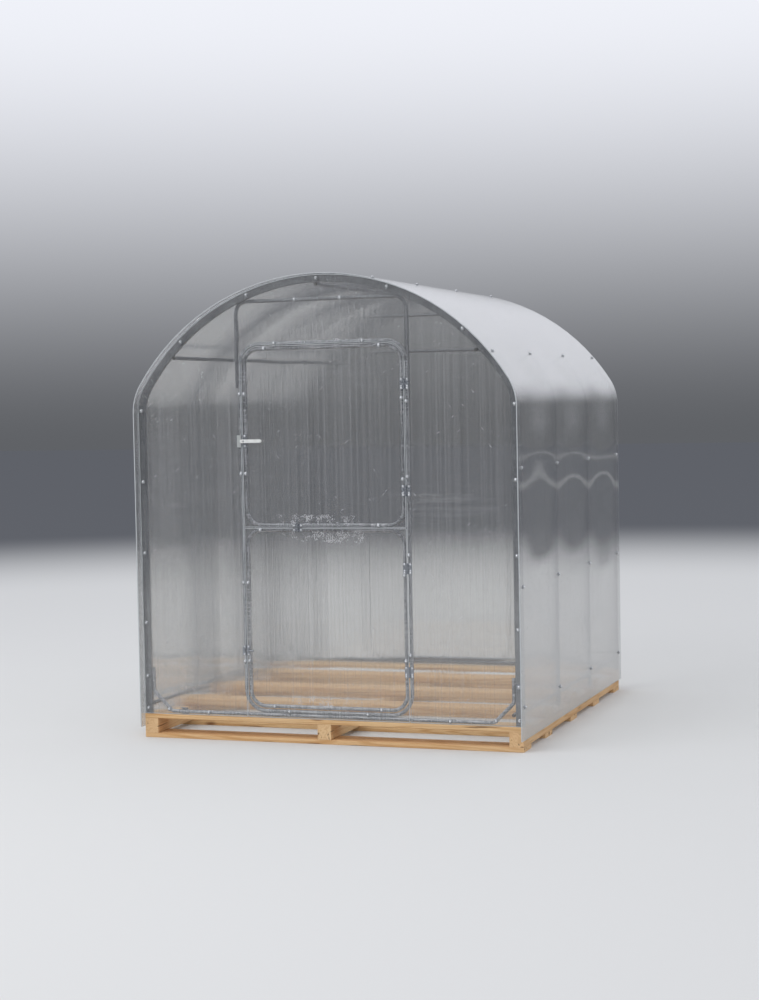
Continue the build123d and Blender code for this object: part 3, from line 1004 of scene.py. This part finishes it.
def flutes(tree, across):
    """How far a skin leans sideways between its ribs, as a vector, and how uneven it is there.

    The lean is a sine across the flutes, one turn to a rib, whose phase strays with unevenness in
    streaks 8 mm wide.
    """
    uneven = grained(tree, NOISE, drawn_out(across, 7.7, 12500.0), 3.0)
    each_metre = 2 * math.pi / look("sheet").pitch
    turns = add_node(tree, MATH, (own_side(tree, across), each_metre), operation="MULTIPLY")
    phase = add_node(tree, MATH, (uneven, 4.0, turns), operation="MULTIPLY_ADD")
    slope = add_node(tree, MATH, (phase,), operation="SINE")
    ragged = add_node(tree, MATH, (uneven, 0.04, -0.02), operation="MULTIPLY_ADD")
    sideways = add_node(tree, MATH, (slope, 0.14), operation="MULTIPLY")
    push = add_node(tree, "ShaderNodeCombineXYZ", {across: sideways, "Z": ragged})
    push = add_node(tree, "ShaderNodeVectorTransform", (push,), vector_type="VECTOR",
                    convert_from="OBJECT", convert_to="WORLD")
    return push, uneven


def milkiness(tree, across, uneven, dusty):
    """The milky share of a skin: streaks along the flutes, bands 70 mm wide, clouds, and dust on top."""
    band = grained(tree, NOISE, drawn_out(across, 71.0, 8300.0), 5.0)
    cloud = grained(tree, NOISE, (770.0, 770.0, 1100.0), 3.0)
    normal = add_node(tree, "ShaderNodeNewGeometry", output="Normal")
    upward = add_node(tree, "ShaderNodeSeparateXYZ", (normal,), "Z")
    upward = add_node(tree, MATH, (upward,), operation="ABSOLUTE")
    share = 0.0
    for limits in ((band, 0.35, 0.7, 0.0, 0.015), (cloud, 0.35, 0.7, 0.0, 0.01),
                   (uneven, 0.47, 0.7, 0.0, 0.12), (upward, 0.1, 0.9, 0.006, dusty)):
        share = add_node(tree, MATH, (add_node(tree, RANGE, limits), share), operation="ADD")
    return share


def handling_marks(tree):
    """White scuffs, dried drops and scratches: fine specks, dense only at the front's scuffed places."""
    x, z = own_side(tree, "X"), own_side(tree, "Z")
    dense = 0.0
    for middle_x, middle_z, wide, high in SCUFFED_PLACES:
        beside, level_with = near(tree, x, middle_x, wide), near(tree, z, middle_z, high)
        spot = add_node(tree, MATH, (beside, level_with), operation="MULTIPLY")
        dense = add_node(tree, MATH, (spot, dense), operation="MAXIMUM")
    patch = grained(tree, NOISE, (38.0, 38.0, 50.0), 3.0)
    patchy = add_node(tree, MATH, (dense, patch), operation="MULTIPLY")
    speck = grained(tree, NOISE, (4.3, 4.3, 5.9), 4.0)
    needed = add_node(tree, RANGE, (patchy, 0.3, 0.62, 0.76, 0.53))
    over = add_node(tree, MATH, (speck, needed), operation="SUBTRACT")
    marks = add_node(tree, RANGE, (over, 0.0, 0.05))
    for turned_by in (0.9, -0.7):
        scratch = grained(tree, NOISE, (45.0, 45.0, 2.4), 1.0, turned_by=turned_by)
        scratch = add_node(tree, RANGE, (scratch, 0.77, 0.82, 0.0, 0.9))
        marks = add_node(tree, MATH, (marks, scratch), operation="MAXIMUM")
    return marks


def thrown_back(tree, normal):
    """The share of light that the four faces of both skins throw back, counted on the outside only.

    It adds up to 3 F / (1 + 2 F), F being one face's share.
    """
    bounce = add_node(tree, "ShaderNodeFresnel", {"IOR": 1.5, "Normal": normal})
    tripled = add_node(tree, MATH, (bounce, 3.0), operation="MULTIPLY")
    stacked = add_node(tree, MATH, (bounce, 2.0, 1.0), operation="MULTIPLY_ADD")
    mirror = add_node(tree, MATH, (tripled, stacked), operation="DIVIDE")
    inside = add_node(tree, "ShaderNodeNewGeometry", output="Backfacing")
    outside = add_node(tree, MATH, (1.0, inside), operation="SUBTRACT")
    return add_node(tree, MATH, (mirror, outside), operation="MULTIPLY")


def twin_wall(tree, across, marked, dusty):
    """Clear extruded polycarbonate in two skins, 4 mm apart.

    The ribs and the slight hollow of the skin between them spread light sideways only: what runs
    along the flutes behind the sheet melts away, what lies across them still shows.
    """
    colours = look("sheet")
    push, uneven = flutes(tree, across)
    bent, smooth = leant(tree, push, 1.0), leant(tree, push, 0.22)
    share = milkiness(tree, across, uneven, dusty)
    if marked:
        marks = add_node(tree, MATH, (handling_marks(tree), 0.75), operation="MULTIPLY")
        share = add_node(tree, MATH, (share, marks), operation="MAXIMUM")
    glass = {"Color": colours.clear, "Roughness": 0.015, "IOR": 1.35, "Normal": bent}
    clear = add_node(tree, "ShaderNodeBsdfGlass", glass)
    milk = add_node(tree, "ShaderNodeBsdfDiffuse", {"Color": colours.haze, "Normal": bent})
    glow = add_node(tree, "ShaderNodeBsdfTranslucent", {"Color": colours.haze, "Normal": bent})
    haze = add_node(tree, "ShaderNodeMixShader", (0.5, milk, glow))
    body = add_node(tree, "ShaderNodeMixShader", (share, clear, haze))
    gloss = add_node(tree, "ShaderNodeBsdfGlossy", {"Roughness": 0.06, "Normal": smooth})
    seen = add_node(tree, "ShaderNodeMixShader", (thrown_back(tree, smooth), body, gloss))
    passing = add_node(tree, "ShaderNodeBsdfTransparent", {"Color": colours.shade})
    shadow = add_node(tree, "ShaderNodeLightPath", output="Is Shadow Ray")
    scattered = add_node(tree, "ShaderNodeLightPath", output="Is Diffuse Ray")
    lit = add_node(tree, MATH, (shadow, scattered), operation="MAXIMUM")
    return add_node(tree, "ShaderNodeMixShader", (lit, seen, passing))


def rib(tree):
    """The thin webs between the skins, slightly milky where the extruder drew them."""
    colours = look("sheet")
    milk = add_node(tree, "ShaderNodeBsdfTranslucent", {"Color": colours.haze})
    clear = add_node(tree, "ShaderNodeBsdfTransparent", {"Color": colours.shade})
    milky = add_node(tree, RANGE, (grained(tree, NOISE, (17.0,) * 3), 0.3, 0.7, 0.12, 0.3))
    return add_node(tree, "ShaderNodeMixShader", (milky, clear, milk))


def sawn_edge(tree):
    """Saw-cut polycarbonate: white, matt and a little see-through, with the saw's fine notches."""
    colours = look("sheet")
    tone = add_node(tree, RANGE, (grained(tree, NOISE, (2.5, 2.5, 11.0)), 0.2, 0.8))
    paint = add_node(tree, MIX, {0: tone, 6: colours.notch, 7: colours.edge}, **COLOURED)
    return add_node(tree, PAINT, {"Base Color": paint, "Roughness": 0.5, "IOR": 1.58})


def galvanised(tree, rust_and_highlight_share):
    """Strip-galvanised tube: zinc crystals 6 mm wide, soft clouds, and brighter rubbed streaks.

    The zinc skin gives dull, broad reflections that differ a little from crystal to crystal. White
    streaks drawn out along the tubes, part white zinc rust and part painted highlight, cover more of the
    door's than of the others.
    """
    colours = look("frame")
    crystal = grained(tree, CELLS, (6.2, 6.2, 9.0), output="Color")
    spangle = add_node(tree, "ShaderNodeSeparateColor", (crystal,))
    cloud = grained(tree, NOISE, (110.0, 110.0, 200.0), 4.0)
    rubs = grained(tree, NOISE, (14.0, 14.0, 70.0), 5.0)
    rubbed = add_node(tree, RANGE, (rubs, 0.56, 0.72, 0.0, 0.75))
    clouded = add_node(tree, RANGE, (cloud, 0.3, 0.75, 0.0, 0.4))
    mixture = add_node(tree, MATH, (spangle, 0.35, clouded), operation="MULTIPLY_ADD")
    share = add_node(tree, MATH, (mixture, rubbed), operation="MAXIMUM")
    paint = add_node(tree, MIX, {0: share, 6: colours.steel, 7: colours.steel_pale}, **COLOURED)
    # Painted highlight: white streaks along the tubes, part white zinc rust and part painted highlight
    # streaks
    painted_highlight_and_rust = 0.0
    for sizes in ((6.7, 6.7, 110.0), (110.0, 6.7, 6.7)):
        streak = grained(tree, NOISE, sizes, 4.0)
        painted_highlight_and_rust = add_node(tree, MATH, (streak, painted_highlight_and_rust), operation="MAXIMUM")
    painted_highlight_and_rust = add_node(tree, RANGE, (painted_highlight_and_rust, 0.46, 0.66, 0.0, rust_and_highlight_share))
    metal = add_node(tree, RANGE, (painted_highlight_and_rust, 0.0, 1.0, 0.85, 0.1))
    uneven = add_node(tree, MATH, (spangle, cloud), operation="ADD")
    rough = add_node(tree, RANGE, (uneven, 0.3, 1.4, 0.33, 0.55))
    pits = grained(tree, NOISE, (2.0, 2.0, 3.3))
    bump = add_node(tree, BUMP, {"Height": pits, "Strength": 0.25, "Distance": 0.0004})
    paint = add_node(tree, MIX, {0: painted_highlight_and_rust, 6: paint, 7: colours.rust_and_painted_highlight}, **COLOURED)
    inputs = {"Base Color": paint, "Metallic": metal, "Roughness": rough, "Normal": bump}
    return add_node(tree, PAINT, inputs)


def zinc(tree, bright):
    """Zinc-plated small parts: brighter and smoother than the tube, with dull spots 4 mm wide."""
    dull = add_node(tree, RANGE, (grained(tree, NOISE, (4.2,) * 3, 3.0), 0.45, 0.65, 0.0, 0.7))
    paint = add_node(tree, MIX, {0: dull, 6: bright, 7: look("frame").tarnish}, **COLOURED)
    rough = add_node(tree, RANGE, (dull, 0.0, 0.7, 0.2, 0.4))
    return add_node(tree, PAINT, {"Base Color": paint, "Metallic": 0.7, "Roughness": rough})


def moulded(tree, clean, roughness):
    """Injection-moulded plastic: a spark-eroded grain of half a millimetre under dusty clouds."""
    grit = grained(tree, NOISE, (0.45,) * 3)
    bump = add_node(tree, BUMP, {"Height": grit, "Strength": 0.2, "Distance": 0.0002})
    dusty = add_node(tree, RANGE, (grained(tree, NOISE, (29.0,) * 3, 3.0), 0.3, 0.7, 0.0, 0.25))
    paint = add_node(tree, MIX, {0: dusty, 6: clean, 7: look("frame").dust}, **COLOURED)
    inputs = {"Base Color": paint, "Roughness": roughness, "IOR": 1.5, "Normal": bump}
    return add_node(tree, PAINT, inputs)


def pine(tree, along):
    """Rough-sawn pine: growth rings drawn out along the board, knots, cracks and saw marks across it.

    A number kept on each board's points shifts the pattern and reddens the tone from board to board.
    """
    colours = look("timber")
    board = add_node(tree, "ShaderNodeAttribute", output="Fac", attribute_name="board")
    shift = add_node(tree, VECTORS, {0: (3.1, 1.7, 2.3), "Scale": board}, operation="SCALE")
    place = add_node(tree, "ShaderNodeTexCoord", output="Object")
    place = add_node(tree, VECTORS, (place, shift), operation="ADD")

    def on_board(length_along, across, detail, kind=NOISE, output=0):
        """A pattern in grains so long and so wide on the board."""
        return grained(tree, kind, drawn_out(along, length_along, across), detail, place, output=output)

    each_grain = 0.111 / colours.ring * 2 * math.pi
    turns = add_node(tree, MATH, (on_board(2470.0, 111.0, 3.0), each_grain), operation="MULTIPLY")
    rings = add_node(tree, MATH, (turns,), operation="SINE")
    late = add_node(tree, RANGE, (rings, -0.1, 1.0, 0.0, 0.75))
    paint = add_node(tree, MIX, {0: late, 6: colours.early, 7: colours.late}, **COLOURED)
    fibre = on_board(53.0, 2.4, 2.0)
    heart = on_board(312.0, 114.0, None, CELLS, "Distance")
    for limits, tone in (((fibre, 0.35, 0.75, 0.0, 0.45), colours.fibre),
                         ((on_board(910.0, 910.0, 2.0), 0.35, 0.65, 0.0, 0.3), colours.bleached),
                         ((board, 0.0, 1.0, 0.0, 0.35), colours.ruddy),
                         ((heart, 0.05, 0.14, 0.85, 0.0), colours.knot),
                         ((on_board(370.0, 16.7, 4.0), 0.64, 0.68, 0.0, 0.8), colours.crack)):
        share = add_node(tree, RANGE, limits)
        paint = add_node(tree, MIX, {0: share, 6: paint, 7: tone}, **COLOURED)
    height = add_node(tree, MATH, (on_board(1.9, 17.0, 2.0), fibre), operation="ADD")
    bump = add_node(tree, BUMP, {"Height": height, "Strength": 0.5, "Distance": 0.0006})
    inputs = {"Base Color": paint, "Roughness": 0.78, "IOR": 1.45, "Normal": bump}
    return add_node(tree, PAINT, inputs)


def floor_paint(tree):
    """Plain matt floor, pale about the greenhouse and falling off to the backdrop's grey far away."""
    colours = look("studio")
    place = add_node(tree, "ShaderNodeTexCoord", output="Object")
    away = add_node(tree, VECTORS, (place,), "Value", operation="LENGTH")
    far = add_node(tree, RANGE, (away, 7.5, 15.5), interpolation_type="SMOOTHSTEP")
    paint = add_node(tree, MIX, {0: far, 6: colours.floor, 7: colours.far_floor}, **COLOURED)
    return add_node(tree, "ShaderNodeBsdfDiffuse", {"Color": paint, "Roughness": 0.0})


FINISHES = {
    "Twin-wall polycarbonate, upright flutes": lambda tree: twin_wall(tree, "X", True, 0.006),
    "Twin-wall polycarbonate, bent flutes": lambda tree: twin_wall(tree, "Y", False, 0.34),
    "Sawn polycarbonate edge": sawn_edge,
    "Polycarbonate rib": rib,
    # The white streaks on the tubes are part white zinc rust and part painted highlight, most on the
    # door's tubes
    "Galvanised steel tube": lambda tree: galvanised(tree, 0.12),
    "Galvanised door tube, white rust and painted highlights": lambda tree: galvanised(tree, 0.8),
    "Zinc-plated steel": lambda tree: zinc(tree, look("frame").zinc),
    "Dull sealing washer": lambda tree: zinc(tree, look("frame").washer_steel),
    "Pressed zinc-plated plate": lambda tree: zinc(tree, look("frame").plate),
    "White polyamide": lambda tree: moulded(tree, look("frame").lever, 0.4),
    "Grey polyamide": lambda tree: moulded(tree, look("frame").keeper, 0.45),
    "Black polyethylene": lambda tree: moulded(tree, look("frame").plug, 0.5),
    "Sawn pine, grain across": lambda tree: pine(tree, "X"),
    "Sawn pine, grain front to back": lambda tree: pine(tree, "Y"),
    "Matt floor": floor_paint,
}

DOOR_TUBES = ("front_door_ring", "upper_leaf_frame", "lower_leaf_frame", "front_foot_tube")
SLOT_FINISHES = {
    "galvanised_tube": "Galvanised steel tube",
    "zinc_fittings": "Pressed zinc-plated plate",
    "white_plastic": "White polyamide",
    "grey_plastic": "Grey polyamide",
}


def material(name):
    """The finish of that name, made the first time it is asked for."""
    made = bpy.data.materials.get(name)
    if made is None:
        made = bpy.data.materials.new(name)
        made.use_nodes = True
        made.node_tree.nodes.clear()
        add_node(made.node_tree, "ShaderNodeOutputMaterial", (FINISHES[name](made.node_tree),))
    return made


class GREENHOUSE_OT_finishes(bpy.types.Operator):
    """Give the tubes, hinges and latches of the frame their finishes"""

    bl_idname = "greenhouse.finishes"
    bl_label = "Frame finishes"

    def execute(self, context):
        for row in frame["record"]["subparts"]:
            finish = SLOT_FINISHES.get(row["material_slot"])
            # The door's tubes take the most painted highlight streaks
            if row["node"] in DOOR_TUBES:
                finish = "Galvanised door tube, white rust and painted highlights"
            if finish:
                for place in frame["nodes"][row["node"]].material_slots:
                    place.material = material(finish)
        return {"FINISHED"}


class GREENHOUSE_OT_stage(bpy.types.Operator):
    """Set the floor, the light and the camera"""

    bl_idname = "greenhouse.stage"
    bl_label = "Studio"

    def execute(self, context):
        scene = context.scene
        scene.view_settings.view_transform = "Standard"
        scene.cycles.transparent_max_bounces = 24
        scene.cycles.max_bounces = 16
        scene.cycles.transmission_bounces = 14
        self.floor(scene)
        self.world(scene)
        for row in LAMPS:
            self.lamp(scene, *row)
        self.camera(scene)
        return {"FINISHED"}

    def floor(self, scene):
        """A wide square at the ground."""
        mesh = bpy.data.meshes.new("floor")
        sides = (-floor_reach, floor_reach)
        mesh.from_pydata([(x, y, 0) for y in sides for x in sides], [], [(0, 1, 3, 2)])
        mesh.materials.append(material("Matt floor"))
        floor = bpy.data.objects.new("floor", mesh)
        scene.collection.objects.link(floor)

    def world(self, scene):
        """Even light, brighter from above than from the horizon."""
        colours = look("studio")
        world = bpy.data.worlds.new("studio")
        world.use_nodes = True
        tree = world.node_tree
        tree.nodes.clear()
        way = add_node(tree, "ShaderNodeTexCoord", output="Generated")
        rise = add_node(tree, "ShaderNodeSeparateXYZ", (way,), "Z")
        upward = add_node(tree, RANGE, (rise, -0.02, 0.21), interpolation_type="SMOOTHSTEP")
        paint = add_node(tree, MIX, {0: upward, 6: colours.horizon, 7: colours.zenith}, **COLOURED)
        light = add_node(tree, "ShaderNodeBackground", {"Color": paint, "Strength": 1.0})
        add_node(tree, "ShaderNodeOutputWorld", (light,))
        scene.world = world

    def lamp(self, scene, name, place, size, power):
        """A soft lamp, so wide and so high, that looks at the middle of the greenhouse."""
        light = bpy.data.lights.new(name, "AREA")
        light.shape = "RECTANGLE"
        light.size, light.size_y = size
        light.energy = power
        lamp = bpy.data.objects.new(name, light)
        lamp.visible_camera = False
        lamp.location = place
        way = Vector(lamp_target) - lamp.location
        lamp.rotation_euler = way.to_track_quat("-Z", "Y").to_euler()
        scene.collection.objects.link(lamp)

    def camera(self, scene):
        """The picture's view: a heading, then a tilt, then a roll about the view."""
        sizes = look("studio")
        camera = bpy.data.cameras.new("camera")
        camera.sensor_width = film_width
        camera.lens = sizes.lens
        camera.clip_end = 200.0
        seat = bpy.data.objects.new("camera", camera)
        view = Matrix.Translation(sizes.place) @ Matrix.Rotation(sizes.heading, 4, "Z")
        view = view @ Matrix.Rotation(math.pi / 2 + sizes.tilt, 4, "X")
        seat.matrix_world = view @ Matrix.Rotation(sizes.roll, 4, "Z")
        scene.collection.objects.link(seat)
        scene.camera = seat


class GREENHOUSE_PT_panel(bpy.types.Panel):
    """Lists the pieces in the sidebar"""

    bl_label = "Greenhouse"
    bl_space_type = "VIEW_3D"
    bl_region_type = "UI"
    bl_category = "Greenhouse"

    def draw(self, context):
        for group in GROUPS:
            box = self.layout.box()
            settings = look(group)
            for name in settings.__annotations__:
                box.prop(settings, name)
        for operator in OPERATORS:
            self.layout.operator(operator.bl_idname)


GROUPS = {"sheet": SheetLook, "frame": FrameLook, "timber": TimberLook, "studio": StudioLook}
OPERATORS = (
    GREENHOUSE_OT_stage,
    GREENHOUSE_OT_finishes,
    GREENHOUSE_OT_timber,
    GREENHOUSE_OT_cover,
    GREENHOUSE_OT_gables,
    GREENHOUSE_OT_leaf_sheets,
    GREENHOUSE_OT_screws,
    GREENHOUSE_OT_caps,
    GREENHOUSE_OT_fittings,
)


def register():
    """Registers the groups, the operators and the panel."""
    for name, group in GROUPS.items():
        bpy.utils.register_class(group)
        setattr(bpy.types.Scene, "greenhouse_" + name, bpy.props.PointerProperty(type=group))
    for item in (*OPERATORS, GREENHOUSE_PT_panel):
        bpy.utils.register_class(item)


def unregister():
    """Takes the panel, the operators and the groups away again."""
    for item in (GREENHOUSE_PT_panel, *reversed(OPERATORS)):
        bpy.utils.unregister_class(item)
    for name, group in GROUPS.items():
        delattr(bpy.types.Scene, "greenhouse_" + name)
        bpy.utils.unregister_class(group)


def main():
    register()
    for operator in OPERATORS:
        group, name = operator.bl_idname.split(".")
        getattr(getattr(bpy.ops, group), name)()


if __name__ == "__main__":
    main()
